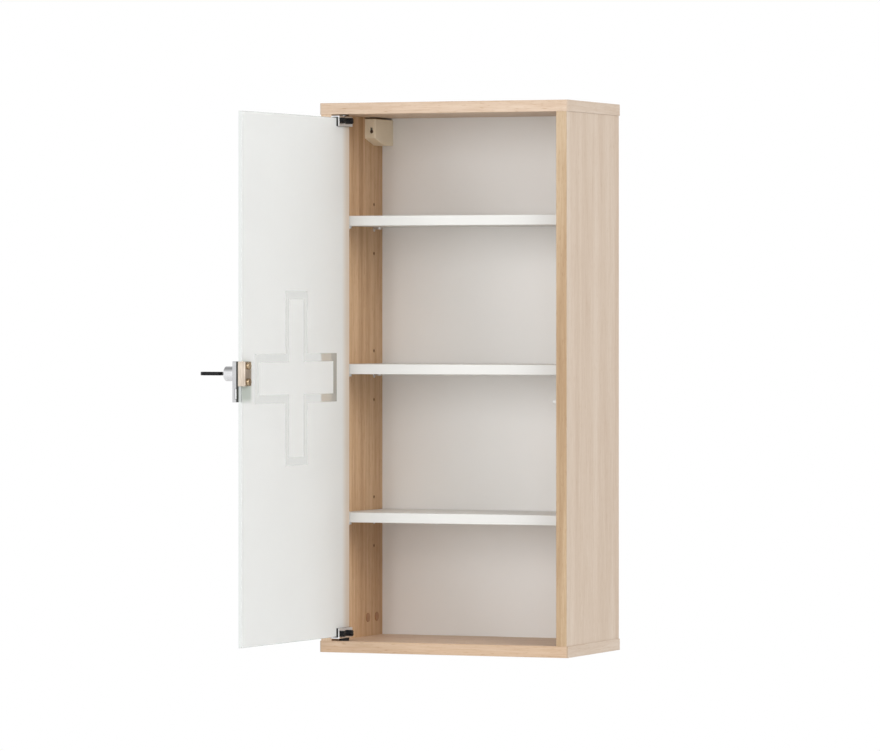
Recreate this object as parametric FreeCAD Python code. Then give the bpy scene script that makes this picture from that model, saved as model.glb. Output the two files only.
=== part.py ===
import FreeCAD, Part
import os
from FreeCAD import Vector

# Carcass boards (all lengths in millimetres)
cabinet_width = 396.0
cabinet_depth = 220.0
cabinet_height = 820.0
board_thickness = 17.0
end_overhang = 1.5
board_edge_radius = 0.6

# Back panel in its grooves, with a void behind it for the hooks
back_thickness = 4.0
wall_void = 19.0
groove_depth = 6.0
groove_clearance = 0.2

# Shelves
shelf_thickness = 15.0
shelf_setback = 32.0
shelf_end_clearance = 0.8
shelf_back_clearance = 1.0
shelf_edge_radius = 0.8
middle_shelf_rise = 5.0
top_compartment_least_height = 140.0
hole_pitch = 37.0
spare_holes_each_way = 1

# Spoon pins that carry the shelves
pin_hole_diameter = 5.0
pin_hole_depth = 10.0
pin_clearance = 0.15
pin_peg_length = 9.0
pin_collar_diameter = 8.0
pin_collar_thickness = 0.6
pin_tongue_length = 12.0
pin_tongue_width = 7.0
pin_tongue_height = 3.6
pin_axis_drop = 3.0
front_pin_setback = 48.0
rear_pin_setback = 56.0

# Cam fittings and dowels that join the boards
cam_diameter = 12.0
cam_height = 11.0
cam_clearance = 0.1
cam_from_board_end = 28.0
cam_front_setback = 37.0
cam_rear_setbacks = (80.0, 46.0)
cam_drive_length = 8.0
cam_drive_width = 1.4
cam_drive_depth = 1.6
cam_cap_diameter = 14.0
cam_cap_thickness = 1.0
cam_cap_edge_radius = 0.4
bolt_thread_diameter = 5.0
bolt_thread_length = 11.0
bolt_shank_diameter = 6.0
bolt_neck_diameter = 3.5
bolt_neck_length = 5.0
bolt_head_diameter = 6.4
bolt_head_length = 3.0
bolt_clearance = 0.4
dowel_diameter = 8.0
dowel_length = 30.0
dowel_cap_board_depth = 11.0
dowel_clearance = 0.1
dowel_end_clearance = 1.0
dowel_end_chamfer = 1.0
dowel_setbacks = (72.0, 118.0)

# Cabinet hangers in the upper rear corners
hanger_width = 17.5
hanger_length = 69.0
hanger_height = 39.5
hanger_top_gap = 2.5
hanger_slope_rise = 10.0
hanger_slope_run = 35.0
hanger_edge_radius = 1.6
hanger_wall = 1.8
hanger_floor = 4.0
hanger_peg_diameter = 8.0
hanger_peg_length = 10.0
hanger_peg_clearance = 0.1
hanger_peg_spacing = 20.0
hook_thickness = 2.5
hook_offset = 5.2
hook_height = 12.0
hook_tail = 40.0
hook_reach = 13.0
hook_lip_length = 12.0
hook_lip_thickness = 4.0
hook_below_top = 18.0
hook_clearance = 0.5
adjuster_offset = 10.8
adjuster_below_top = 19.5
adjuster_thread_diameter = 5.0
adjuster_head_diameter = 6.4
adjuster_head_length = 3.0
adjuster_length = 34.0
adjuster_slot_width = 1.2
adjuster_slot_depth = 1.4
adjuster_clearance = 0.3
keyhole_diameter = 5.6
keyhole_neck_width = 3.6
keyhole_rise = 4.4
dimple_diameter = 5.0
dimple_depth = 0.5
dimple_drop = 7.6

# Glass door, inset in the opening, and the pivot line that it swings on
glass_thickness = 5.0
glass_recess = 12.0
glass_hinge_gap = 2.5
glass_lock_gap = 3.5
glass_top_gap = 5.0
glass_bottom_gap = 7.0
glass_edge_chamfer = 0.5
pivot_from_hinge_edge = 12.0
door_open_angle = 93.0

# Frosting on the inner face, with the cross outlined in clear glass
frost_thickness = 0.3
frost_margin = 0.8
cross_side_margin = 42.5
cross_up = 256.0
cross_arm = 72.0
cross_line = 12.0

# Hinge clips, liners, clamp screws, pivot pins and bushes
clip_length = 44.0
clip_overlap = 13.0
clip_jaw = 2.3
clip_web = 1.6
clip_edge_radius = 0.8
liner_inner = 2.7
liner_outer = 1.1
liner_base = 0.8
clamp_screw_diameter = 9.2
clamp_screw_length = 6.0
clamp_screw_edge = 1.0
clamp_screw_thread = 5.0
clamp_screw_clearance = 0.15
clamp_screw_slot_width = 1.4
clamp_screw_slot_depth = 1.2
clamp_screw_from_hinge_edge = (11.4, 37.4)
clamp_screw_from_glass_edge = 4.6
pivot_pin_diameter = 6.0
pivot_pin_reach = 11.0
pivot_pin_chamfer = 0.8
pivot_running_clearance = 0.06
bush_diameter = 10.0
bush_flange_diameter = 15.0
bush_sleeve_length = 11.8
bush_top_flange = 1.5
bush_fit_clearance = 0.1
bush_end_clearance = 0.2

# Lock on the free edge: plate, gasket, cylinder and clamp
lock_axis_height = 419.0
lock_axis_from_plate_end = 27.0
lock_plate_width = 41.0
lock_plate_height = 59.0
lock_plate_thickness = 6.5
lock_plate_wall = 2.5
lock_plate_overhang = 1.0
lock_plate_top_margin = 18.0
lock_plate_edge_radius = 0.8
gasket_thickness = 3.0
gasket_inset = 0.4
cylinder_diameter = 22.0
cylinder_length = 25.0
cylinder_bevel = 2.6
cylinder_spigot_diameter = 18.0
cylinder_fit_clearance = 0.1
clamp_length = 20.0
clamp_height = 35.5
clamp_thickness = 5.8
clamp_web = 1.0
clamp_web_clearance = 0.2
clamp_edge_radius = 0.8
clamp_pad_thickness = 0.5
clamp_pad_margin = 1.0
clamp_bolt_from_end = 8.4
clamp_bolt_spacing = 23.2
clamp_bolt_diameter = 4.0
clamp_bolt_clearance = 0.3
clamp_bolt_head_diameter = 10.4
clamp_bolt_head_length = 4.2
clamp_bolt_head_edge = 0.6
clamp_bolt_seat_depth = 0.6
clamp_bolt_slot_width = 1.6
clamp_bolt_slot_depth = 1.3

# Lock works: plug, drive cam, sliding bolt, strike and key
plug_diameter = 14.0
plug_running_clearance = 0.06
plug_face_sink = 0.5
plug_seat_gap = 0.2
drive_cam_diameter = 16.0
drive_cam_thickness = 1.2
drive_pin_diameter = 3.0
drive_pin_share = 0.7071
slide_bolt_travel = 9.0
slide_bolt_thickness = 2.2
slide_bolt_height = 14.0
slide_bolt_length = 36.0
slide_bolt_below_axis = 29.0
slide_bolt_end_sink = 1.0
slide_bolt_ear_wall = 2.2
slide_bolt_ear_top_drop = 1.5
slide_bolt_side_clearance = 0.4
slide_bolt_face_clearance = 0.2
slide_slot_clearance = 0.35
strike_thickness = 1.2
strike_width = 11.5
strike_height = 44.0
strike_front_margin = 1.6
strike_slot_clearance = 1.1
strike_pocket_end_clearance = 2.0
strike_screw_diameter = 3.0
strike_screw_head_diameter = 5.6
strike_screw_length = 11.0
strike_screw_spacing = 32.0
strike_screw_clearance = 0.1
stop_pin_diameter = 5.0
stop_pin_peg_length = 8.0
stop_head_diameter = 6.4
stop_head_length = 11.5
stop_head_edge_radius = 0.8
stop_below_lock_axis = 43.0
stop_clearance = 0.3
key_blade_width = 6.6
key_blade_thickness = 2.2
key_blade_reach = 22.0
key_blade_tip = 2.0
key_cut_spacing = 4.0
key_cut_depth = 1.4
key_cut_count = 4
key_way_clearance = 0.3
key_bow_gap = 3.0
key_bow_length = 36.0
key_bow_width = 20.0
key_bow_thickness = 5.2
key_bow_edge_radius = 1.0
key_bow_hole_diameter = 5.0
key_bow_hole_from_end = 7.0
key_tang_length = 14.0
key_tang_clearance = 0.05

# One overrun serves every cut that has to pass a face
overrun = 2.0

# Planes worked out from the sizes above
half_width = cabinet_width / 2
front = -cabinet_depth / 2
rear = cabinet_depth / 2
side_outer = half_width - end_overhang
side_inner = side_outer - board_thickness
side_middle = (side_outer + side_inner) / 2
opening_bottom = board_thickness
opening_top = cabinet_height - board_thickness
back_rear = rear - wall_void
back_front = back_rear - back_thickness
middle_shelf_underside = (opening_bottom + opening_top) / 2 + middle_shelf_rise
upper_shelf_room = opening_top - middle_shelf_underside - shelf_thickness - top_compartment_least_height
shelf_step = hole_pitch * (upper_shelf_room // hole_pitch)
shelf_undersides = {
    "lower_shelf": middle_shelf_underside - shelf_step,
    "middle_shelf": middle_shelf_underside,
    "upper_shelf": middle_shelf_underside + shelf_step,
}
pin_rows = (front + front_pin_setback, rear - rear_pin_setback)
cam_rows = (front + cam_front_setback,) + tuple(rear - setback for setback in cam_rear_setbacks)
dowel_rows = tuple(front + setback for setback in dowel_setbacks)
cam_heights = (opening_bottom + cam_from_board_end, opening_top - cam_from_board_end)

# Planes of the closed door
glass_outer = front + glass_recess
glass_inner = glass_outer + glass_thickness
glass_middle = (glass_outer + glass_inner) / 2
frost_inner = glass_inner + frost_thickness
hinge_edge = -side_inner + glass_hinge_gap
free_edge = side_inner - glass_lock_gap
glass_bottom = opening_bottom + glass_bottom_gap
glass_top = opening_top - glass_top_gap
glass_mid_height = (glass_bottom + glass_top) / 2
glass_mid_width = (hinge_edge + free_edge) / 2
cross_across = free_edge - hinge_edge - 2 * cross_side_margin
pivot_x = hinge_edge + pivot_from_hinge_edge
pivot_y = glass_middle

# Planes of the closed lock
plate_rear = glass_outer - gasket_thickness
plate_front = plate_rear - lock_plate_thickness
plate_end = free_edge + lock_plate_overhang
plate_start = plate_end - lock_plate_width
plate_top = lock_axis_height + lock_plate_top_margin
plate_bottom = plate_top - lock_plate_height
plate_floor = plate_front + lock_plate_wall
lock_axis_x = plate_end - lock_axis_from_plate_end
cylinder_front = plate_front - cylinder_length
slide_bolt_rear = plate_rear - slide_bolt_face_clearance
slide_bolt_front = slide_bolt_rear - slide_bolt_thickness
slide_bolt_middle = lock_axis_height - slide_bolt_below_axis
slide_bolt_end = plate_end - slide_bolt_end_sink
stop_height = lock_axis_height - stop_below_lock_axis
drive_pin_offset = slide_bolt_travel / 2
drive_pin_radius = drive_pin_offset / drive_pin_share
clamp_start = frost_inner + clamp_pad_thickness
clamp_face = clamp_start + clamp_thickness
clamp_end = free_edge + clamp_web_clearance + clamp_web
clamp_bolt_x = clamp_end - clamp_bolt_from_end
clamp_bolt_heights = (
    lock_axis_height - clamp_bolt_spacing / 2,
    lock_axis_height + clamp_bolt_spacing / 2,
)


def block(x_span, y_span, z_span):
    low = Vector(min(x_span), min(y_span), min(z_span))
    high = Vector(max(x_span), max(y_span), max(z_span))
    return Part.makeBox(high.x - low.x, high.y - low.y, high.z - low.z, low)


def rod(diameter, start, end):
    return Part.makeCylinder(diameter / 2, (end - start).Length, start, end - start)


def about(middle, size):
    return (middle - size / 2, middle + size / 2)


def eased(shape, radius, chosen=lambda edge: True):
    return shape.makeFillet(radius, [edge for edge in shape.Edges if chosen(edge)])


def runs_along(axis):
    def chosen(edge):
        ends = [vertex.Point for vertex in edge.Vertexes]
        if len(ends) < 2:
            return False
        return (ends[1] - ends[0]).cross(axis).Length < Part.Precision.confusion()
    return chosen


def mirrored(shape):
    return shape.mirror(Vector(), Vector(1, 0, 0))


def both_sides(shapes):
    return shapes + [mirrored(shape) for shape in shapes]


def prism(points, travel):
    return Part.Face(Part.makePolygon(points + points[:1])).extrude(travel)


def turned(profile, centre):
    corners = [Vector(centre.x + radius, centre.y, height) for radius, height in profile]
    face = Part.Face(Part.makePolygon(corners + corners[:1]))
    return face.revolve(centre, Vector(0, 0, 1), 360)


def hung_open(shape):
    opened = shape.copy()
    opened.rotate(Vector(pivot_x, pivot_y, 0), Vector(0, 0, 1), -door_open_angle)
    return opened


def pin_heights():
    steps = range(-spare_holes_each_way, spare_holes_each_way + 1)
    return [under - pin_axis_drop + step * hole_pitch
            for under in shelf_undersides.values() for step in steps]


# Bores and grooves in the boards
def side_board_cuts():
    cuts = [block((side_inner - overrun, side_inner + groove_depth),
                  (back_front - groove_clearance, back_rear + groove_clearance),
                  (opening_bottom - overrun, opening_top + overrun))]
    for y in pin_rows:
        for z in pin_heights():
            cuts.append(rod(pin_hole_diameter, Vector(side_inner - overrun, y, z),
                            Vector(side_inner + pin_hole_depth, y, z)))
    for y in cam_rows:
        for z, board_end, inward in zip(cam_heights, (opening_bottom, opening_top), (1, -1)):
            bore_end = z + inward * (bolt_head_length / 2 + bolt_clearance)
            cuts.append(rod(cam_diameter + 2 * cam_clearance, Vector(side_inner - overrun, y, z),
                            Vector(side_inner + cam_height + cam_clearance, y, z)))
            cuts.append(rod(bolt_head_diameter + 2 * bolt_clearance, Vector(side_middle, y, board_end),
                            Vector(side_middle, y, bore_end)))
    sunk = dowel_length - dowel_cap_board_depth + dowel_end_clearance
    for y in dowel_rows:
        for board_end, inward in ((opening_bottom, 1), (opening_top, -1)):
            cuts.append(rod(dowel_diameter + 2 * dowel_clearance, Vector(side_middle, y, board_end),
                            Vector(side_middle, y, board_end + inward * sunk)))
    for z in hanger_peg_heights():
        cuts.append(rod(hanger_peg_diameter + 2 * hanger_peg_clearance,
                        Vector(side_inner - overrun, hanger_peg_row(), z),
                        Vector(side_inner + hanger_peg_length + hanger_peg_clearance, hanger_peg_row(), z)))
    return cuts


def strike_cuts():
    tip = slide_bolt_end + slide_bolt_travel + strike_pocket_end_clearance
    cuts = [block((side_inner - overrun, side_inner + strike_thickness), strike_span(), strike_heights()),
            block((side_inner, tip), strike_slot_span(), strike_slot_heights())]
    for z in strike_screw_heights():
        cuts.append(rod(strike_screw_diameter + 2 * strike_screw_clearance,
                        Vector(side_inner, strike_row(), z),
                        Vector(side_inner + strike_screw_length + strike_thickness, strike_row(), z)))
    cuts.append(rod(stop_pin_diameter, Vector(side_inner - overrun, stop_row(), stop_height),
                    Vector(side_inner + pin_hole_depth, stop_row(), stop_height)))
    return cuts


def side_board():
    board = block((side_inner, side_outer), (front, rear), (opening_bottom, opening_top))
    return eased(board, board_edge_radius, runs_along(Vector(0, 0, 1)))


def end_board(low, high, inner_face, inward):
    board = eased(block((-half_width, half_width), (front, rear), (low, high)), board_edge_radius)
    cuts = [block((-side_inner - groove_depth, side_inner + groove_depth),
                  (back_front - groove_clearance, back_rear + groove_clearance),
                  (inner_face + inward * overrun, inner_face - inward * groove_depth))]
    bores = []
    for y in cam_rows:
        thread_end = inner_face - inward * (bolt_thread_length + bolt_clearance)
        bores.append(rod(bolt_thread_diameter + 2 * bolt_clearance, Vector(side_middle, y, inner_face),
                         Vector(side_middle, y, thread_end)))
    for y in dowel_rows:
        bores.append(rod(dowel_diameter + 2 * dowel_clearance, Vector(side_middle, y, inner_face),
                         Vector(side_middle, y, inner_face - inward * dowel_cap_board_depth)))
    cuts += both_sides(bores)
    bush_depth = bush_sleeve_length + bush_end_clearance
    cuts.append(rod(bush_diameter + 2 * bush_fit_clearance, Vector(pivot_x, pivot_y, inner_face),
                    Vector(pivot_x, pivot_y, inner_face - inward * bush_depth)))
    return board.cut(cuts)


def back_panel():
    reach = groove_depth - groove_clearance
    panel = block((-side_inner - reach, side_inner + reach), (back_front, back_rear),
                  (opening_bottom - reach, opening_top + reach))
    return panel.cut(both_sides([hook_slot()]))


# Shelves and the spoon pins under them
def shelf(underside):
    reach = side_inner - shelf_end_clearance
    board = block((-reach, reach), (front + shelf_setback, back_front - shelf_back_clearance),
                  (underside, underside + shelf_thickness))
    front_edges = lambda edge: runs_along(Vector(1, 0, 0))(edge) and edge.CenterOfMass.y < 0
    return eased(board, shelf_edge_radius, front_edges)


def spoon_pin(y, underside):
    axis_z = underside - pin_axis_drop
    peg = rod(pin_hole_diameter - 2 * pin_clearance, Vector(side_inner - pin_collar_thickness, y, axis_z),
              Vector(side_inner + pin_peg_length, y, axis_z))
    collar = rod(pin_collar_diameter, Vector(side_inner - pin_collar_thickness, y, axis_z),
                 Vector(side_inner, y, axis_z))
    above = block((side_inner - pin_tongue_length, side_inner), about(y, 2 * pin_collar_diameter),
                  (underside, underside + pin_collar_diameter))
    round_centre = side_inner - pin_tongue_length + pin_tongue_width / 2
    tongue = block((round_centre, side_inner), about(y, pin_tongue_width),
                   (underside - pin_tongue_height, underside))
    spoon_end = rod(pin_tongue_width, Vector(round_centre, y, underside - pin_tongue_height),
                    Vector(round_centre, y, underside))
    return peg.fuse([collar.cut(above), tongue, spoon_end]).removeSplitter()


# Fittings that join the boards
def cam_disc(y, z, toward_end):
    disc = rod(cam_diameter, Vector(side_inner, y, z), Vector(side_inner + cam_height, y, z))
    claw = bolt_head_diameter + 2 * bolt_clearance
    slot = block((side_middle - claw / 2, side_inner + cam_height + overrun), about(y, claw),
                 (z - toward_end * claw / 2, z + toward_end * cam_diameter))
    drive_x = (side_inner - overrun, side_inner + cam_drive_depth)
    drive = block(drive_x, about(y, cam_drive_width), about(z, cam_drive_length))
    cross_drive = block(drive_x, about(y, cam_drive_length), about(z, cam_drive_width))
    return disc.cut([slot, drive, cross_drive])


def cam_bolt(y, z, board_end, inward):
    thread = bolt_thread_diameter / 2
    shank = bolt_shank_diameter / 2
    neck = bolt_neck_diameter / 2
    head = bolt_head_diameter / 2
    head_base = z - inward * bolt_head_length / 2
    head_top = z + inward * bolt_head_length / 2
    neck_base = head_base - inward * bolt_neck_length
    thread_end = board_end - inward * bolt_thread_length
    profile = [(0, thread_end), (thread, thread_end), (thread, board_end),
               (shank, board_end), (shank, neck_base), (neck, neck_base), (neck, head_base),
               (head, head_base), (head, head_top), (0, head_top)]
    return turned(profile, Vector(side_middle, y, 0))


def cam_cap(y, z):
    cap = rod(cam_cap_diameter, Vector(side_inner - cam_cap_thickness, y, z), Vector(side_inner, y, z))
    shown_rim = lambda edge: edge.isClosed() and edge.CenterOfMass.x < side_inner - cam_cap_thickness / 2
    return eased(cap, cam_cap_edge_radius, shown_rim)


def wood_dowel(y, board_end, inward):
    low = board_end - inward * (dowel_cap_board_depth - dowel_end_clearance)
    peg = rod(dowel_diameter, Vector(side_middle, y, low),
              Vector(side_middle, y, low + inward * (dowel_length - dowel_end_clearance)))
    rims = [edge for edge in peg.Edges if edge.isClosed()]
    return peg.makeChamfer(dowel_end_chamfer, rims)


# Cabinet hangers, built for the right side and mirrored
def hanger_top():
    return opening_top - hanger_top_gap


def hanger_peg_row():
    return (rear - cam_rear_setbacks[0] + rear - cam_rear_setbacks[1]) / 2


def hanger_peg_heights():
    return about(hanger_top() - hanger_height / 2, hanger_peg_spacing)


def hook_heights(clearance):
    top = hanger_top() - hook_below_top + hook_height
    return (top - hook_height - clearance, top + clearance)


def hook_span(clearance):
    outer = side_inner - hook_offset
    return (outer - hook_thickness - clearance, outer + clearance)


def hook_slot():
    return block(hook_span(hook_clearance), (back_front - overrun, back_rear + overrun),
                 hook_heights(hook_clearance))


def keyhole(depth_span):
    x = side_inner - adjuster_offset
    z = hanger_top() - adjuster_below_top
    wide = rod(keyhole_diameter, Vector(x, min(depth_span), z), Vector(x, max(depth_span), z))
    neck = rod(keyhole_neck_width, Vector(x, min(depth_span), z + keyhole_rise),
               Vector(x, max(depth_span), z + keyhole_rise))
    bridge = block(about(x, keyhole_neck_width), depth_span, (z, z + keyhole_rise))
    return wide.fuse([neck, bridge])


def hanger_housing():
    top = hanger_top()
    bottom = top - hanger_height
    start = back_front - hanger_length
    outline = [Vector(side_inner, start, bottom + hanger_slope_rise),
               Vector(side_inner, start + hanger_slope_run, bottom),
               Vector(side_inner, back_front, bottom),
               Vector(side_inner, back_front, top),
               Vector(side_inner, start, top)]
    body = prism(outline, Vector(-hanger_width, 0, 0))
    inside_face = side_inner - hanger_edge_radius
    shown = lambda edge: edge.CenterOfMass.x < inside_face and edge.CenterOfMass.y < back_front - overrun
    body = eased(body, hanger_edge_radius, shown)
    chamber = block((side_inner - hanger_floor, side_inner - hanger_width + hanger_wall),
                    (start + hanger_wall, back_front - hanger_wall),
                    (bottom + hanger_slope_rise + hanger_wall, top - hanger_wall))
    x = side_inner - adjuster_offset
    dimple_z = top - adjuster_below_top - dimple_drop
    dimple = rod(dimple_diameter, Vector(x, start - overrun, dimple_z),
                 Vector(x, start + dimple_depth, dimple_z))
    passage = block(hook_span(hook_clearance), (back_front - 2 * hanger_wall, back_front + overrun),
                    hook_heights(hook_clearance))
    opening = keyhole((start - overrun, start + 2 * hanger_wall))
    body = body.cut([chamber, dimple, passage, opening])
    pegs = [rod(hanger_peg_diameter, Vector(side_inner - hanger_floor / 2, hanger_peg_row(), z),
                Vector(side_inner + hanger_peg_length, hanger_peg_row(), z)) for z in hanger_peg_heights()]
    return body.fuse(pegs).removeSplitter()


def hanger_hook():
    x_span = hook_span(0)
    low, high = hook_heights(0)
    end = back_rear + hook_reach
    plate = [(back_front - hook_tail, low), (end - hook_lip_thickness, low),
             (end - hook_lip_thickness, low - hook_lip_length), (end, low - hook_lip_length),
             (end, high), (back_front - hook_tail, high)]
    points = [Vector(min(x_span), y, z) for y, z in plate]
    return prism(points, Vector(hook_thickness, 0, 0))


def hanger_adjuster():
    x = side_inner - adjuster_offset
    z = hanger_top() - adjuster_below_top
    head_start = back_front - hanger_length + hanger_wall + adjuster_clearance
    head_end = head_start + adjuster_head_length
    screw = rod(adjuster_head_diameter, Vector(x, head_start, z), Vector(x, head_end, z))
    screw = screw.fuse(rod(adjuster_thread_diameter, Vector(x, head_start, z),
                           Vector(x, head_start + adjuster_length, z)))
    slot = block(about(x, adjuster_slot_width), (head_start - overrun, head_start + adjuster_slot_depth),
                 about(z, 2 * adjuster_head_diameter))
    return screw.cut(slot).removeSplitter()


# Glass door and its frosting
def cross_points(y, inset):
    reach_x = cross_across / 2 - inset
    reach_z = cross_up / 2 - inset
    arm = cross_arm / 2 - inset
    corner = [(arm, arm), (arm, reach_z), (-arm, reach_z), (-arm, arm), (-reach_x, arm), (-reach_x, -arm),
              (-arm, -arm), (-arm, -reach_z), (arm, -reach_z), (arm, -arm), (reach_x, -arm), (reach_x, arm)]
    return [Vector(glass_mid_width + x, y, glass_mid_height + z) for x, z in corner]


def clamp_bolt_bores(start, end):
    bore = clamp_bolt_diameter + 2 * clamp_bolt_clearance
    return [rod(bore, Vector(clamp_bolt_x, start, z), Vector(clamp_bolt_x, end, z))
            for z in clamp_bolt_heights]


def door_glass():
    pane = block((hinge_edge, free_edge), (glass_outer, glass_inner), (glass_bottom, glass_top))
    pane = pane.makeChamfer(glass_edge_chamfer, pane.Edges)
    return pane.cut(clamp_bolt_bores(glass_outer - overrun, glass_inner + overrun))


def frosting():
    sheet = block((hinge_edge + frost_margin, free_edge - frost_margin), (glass_inner, frost_inner),
                  (glass_bottom + frost_margin, glass_top - frost_margin))
    travel = Vector(0, frost_thickness, 0)
    around = sheet.cut([prism(cross_points(glass_inner, 0), travel)]
                       + clamp_bolt_bores(glass_inner - overrun, frost_inner + overrun))
    return [around, prism(cross_points(glass_inner, cross_line), travel)]


# Hinge clips, built at the foot of the door and mirrored to its head
def to_head(shape):
    return shape.mirror(Vector(0, 0, glass_mid_height), Vector(0, 0, 1))


def clip_planes():
    inner = frost_inner + liner_inner
    outer = glass_outer - liner_outer
    return outer - clip_jaw, outer, inner, inner + clip_jaw


def clip_foot():
    return glass_bottom - liner_base - clip_web


def clamp_screw_places():
    height = glass_bottom + clamp_screw_from_glass_edge
    return [Vector(hinge_edge + along, 0, height) for along in clamp_screw_from_hinge_edge]


def hinge_clip():
    outer_face, outer, inner, inner_face = clip_planes()
    x_span = (hinge_edge, hinge_edge + clip_length)
    channel = block(x_span, (outer_face, inner_face), (clip_foot(), glass_bottom + clip_overlap))
    channel = eased(channel, clip_edge_radius, runs_along(Vector(1, 0, 0)))
    slot = block((hinge_edge - overrun, hinge_edge + clip_length + overrun), (outer, inner),
                 (glass_bottom - liner_base, glass_bottom + clip_overlap + overrun))
    cuts = [slot, rod(pivot_pin_diameter + 2 * pivot_running_clearance,
                      Vector(pivot_x, pivot_y, clip_foot() - overrun),
                      Vector(pivot_x, pivot_y, glass_bottom))]
    for place in clamp_screw_places():
        cuts.append(rod(clamp_screw_thread + 2 * clamp_screw_clearance,
                        Vector(place.x, inner - overrun, place.z),
                        Vector(place.x, inner_face + overrun, place.z)))
    return channel.cut(cuts)


def clip_liner():
    outer_face, outer, inner, inner_face = clip_planes()
    x_span = (hinge_edge, hinge_edge + clip_length)
    strip = block(x_span, (outer, inner), (glass_bottom - liner_base, glass_bottom + clip_overlap))
    pane = block((hinge_edge - overrun, hinge_edge + clip_length + overrun), (glass_outer, frost_inner),
                 (glass_bottom, glass_bottom + clip_overlap + overrun))
    return strip.cut(pane)


def clamp_screw(place):
    outer_face, outer, inner, inner_face = clip_planes()
    head_end = inner_face + clamp_screw_length
    head = rod(clamp_screw_diameter, Vector(place.x, inner_face, place.z),
               Vector(place.x, head_end, place.z))
    far_rim = lambda edge: edge.isClosed() and edge.CenterOfMass.y > inner_face + clamp_screw_length / 2
    head = eased(head, clamp_screw_edge, far_rim)
    thread = rod(clamp_screw_thread, Vector(place.x, inner, place.z), Vector(place.x, inner_face, place.z))
    slot = block(about(place.x, 2 * clamp_screw_diameter),
                 (head_end - clamp_screw_slot_depth, head_end + overrun),
                 about(place.z, clamp_screw_slot_width))
    return head.fuse(thread).cut(slot).removeSplitter()


def pivot_pin(board_face, inward, clip_inside):
    tip = board_face - inward * pivot_pin_reach
    pin = rod(pivot_pin_diameter, Vector(pivot_x, pivot_y, clip_inside), Vector(pivot_x, pivot_y, tip))
    tip_rim = lambda edge: edge.isClosed() and abs(edge.CenterOfMass.z - tip) < pivot_pin_chamfer
    return pin.makeChamfer(pivot_pin_chamfer, [edge for edge in pin.Edges if tip_rim(edge)])


def pivot_bush(board_face, inward, flange):
    bore = pivot_pin_diameter / 2 + pivot_running_clearance
    sleeve = bush_diameter / 2
    rim = bush_flange_diameter / 2
    sunk = board_face - inward * bush_sleeve_length
    top = board_face + inward * flange
    profile = [(bore, sunk), (sleeve, sunk), (sleeve, board_face),
               (rim, board_face), (rim, top), (bore, top)]
    return turned(profile, Vector(pivot_x, pivot_y, 0))


# Lock pieces on the free edge of the door
def lock_plate():
    plate = block((plate_start, plate_end), (plate_front, plate_rear), (plate_bottom, plate_top))
    shown = lambda edge: edge.CenterOfMass.y < plate_rear - lock_plate_edge_radius
    plate = eased(plate, lock_plate_edge_radius, shown)
    spigot = rod(cylinder_spigot_diameter + 2 * cylinder_fit_clearance,
                 Vector(lock_axis_x, plate_front - overrun, lock_axis_height),
                 Vector(lock_axis_x, plate_floor + overrun, lock_axis_height))
    cam_room = rod(drive_cam_diameter + 2 * slide_bolt_side_clearance,
                   Vector(lock_axis_x, plate_floor, lock_axis_height),
                   Vector(lock_axis_x, plate_rear + overrun, lock_axis_height))
    ear = ear_half_width() + drive_pin_offset + slide_bolt_side_clearance
    ear_room = block(about(lock_axis_x, 2 * ear), (plate_floor, plate_rear + overrun),
                     (slide_bolt_middle, lock_axis_height))
    slide_start = slide_bolt_end - slide_bolt_length - slide_bolt_side_clearance
    slide_room = block((slide_start, plate_end + overrun),
                       (slide_bolt_front - slide_bolt_face_clearance, plate_rear + overrun),
                       about(slide_bolt_middle, slide_bolt_height + 2 * slide_bolt_side_clearance))
    threads = [rod(clamp_bolt_diameter + 2 * clamp_bolt_clearance, Vector(clamp_bolt_x, plate_floor, z),
                   Vector(clamp_bolt_x, plate_rear + overrun, z)) for z in clamp_bolt_heights]
    return plate.cut([spigot, cam_room, ear_room, slide_room] + threads)


def lock_gasket():
    sheet = block((plate_start + gasket_inset, free_edge), (plate_rear, glass_outer),
                  (plate_bottom + gasket_inset, plate_top - gasket_inset))
    return sheet.cut(clamp_bolt_bores(plate_rear - overrun, glass_outer + overrun))


def lock_cylinder():
    axis_front = Vector(lock_axis_x, cylinder_front, lock_axis_height)
    shell = rod(cylinder_diameter, axis_front, Vector(lock_axis_x, plate_front, lock_axis_height))
    rims = [edge for edge in shell.Edges if edge.isClosed()]
    front_rim = [edge for edge in rims if edge.CenterOfMass.y < plate_front - cylinder_bevel]
    shell = shell.makeChamfer(cylinder_bevel, front_rim)
    spigot = rod(cylinder_spigot_diameter, Vector(lock_axis_x, plate_front, lock_axis_height),
                 Vector(lock_axis_x, plate_floor, lock_axis_height))
    bore = rod(plug_diameter + 2 * plug_running_clearance,
               Vector(lock_axis_x, cylinder_front - overrun, lock_axis_height),
               Vector(lock_axis_x, plate_floor + overrun, lock_axis_height))
    return shell.fuse(spigot).cut(bore).removeSplitter()


def lock_clamp():
    heights = about(lock_axis_height, clamp_height)
    jaw = block((clamp_end - clamp_length, clamp_end), (clamp_start, clamp_face), heights)
    web = block((clamp_end - clamp_web, clamp_end), (glass_outer, clamp_start), heights)
    clamp = jaw.fuse(web).removeSplitter()
    shown = lambda edge: edge.CenterOfMass.y > clamp_face - clamp_edge_radius
    clamp = eased(clamp, clamp_edge_radius, shown)
    cuts = clamp_bolt_bores(clamp_start - overrun, clamp_face + overrun)
    sink = clamp_bolt_head_diameter + 2 * clamp_bolt_clearance
    for z in clamp_bolt_heights:
        seat = clamp_face - clamp_bolt_seat_depth
        cuts.append(rod(sink, Vector(clamp_bolt_x, seat, z), Vector(clamp_bolt_x, clamp_face + overrun, z)))
    return clamp.cut(cuts)


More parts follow.
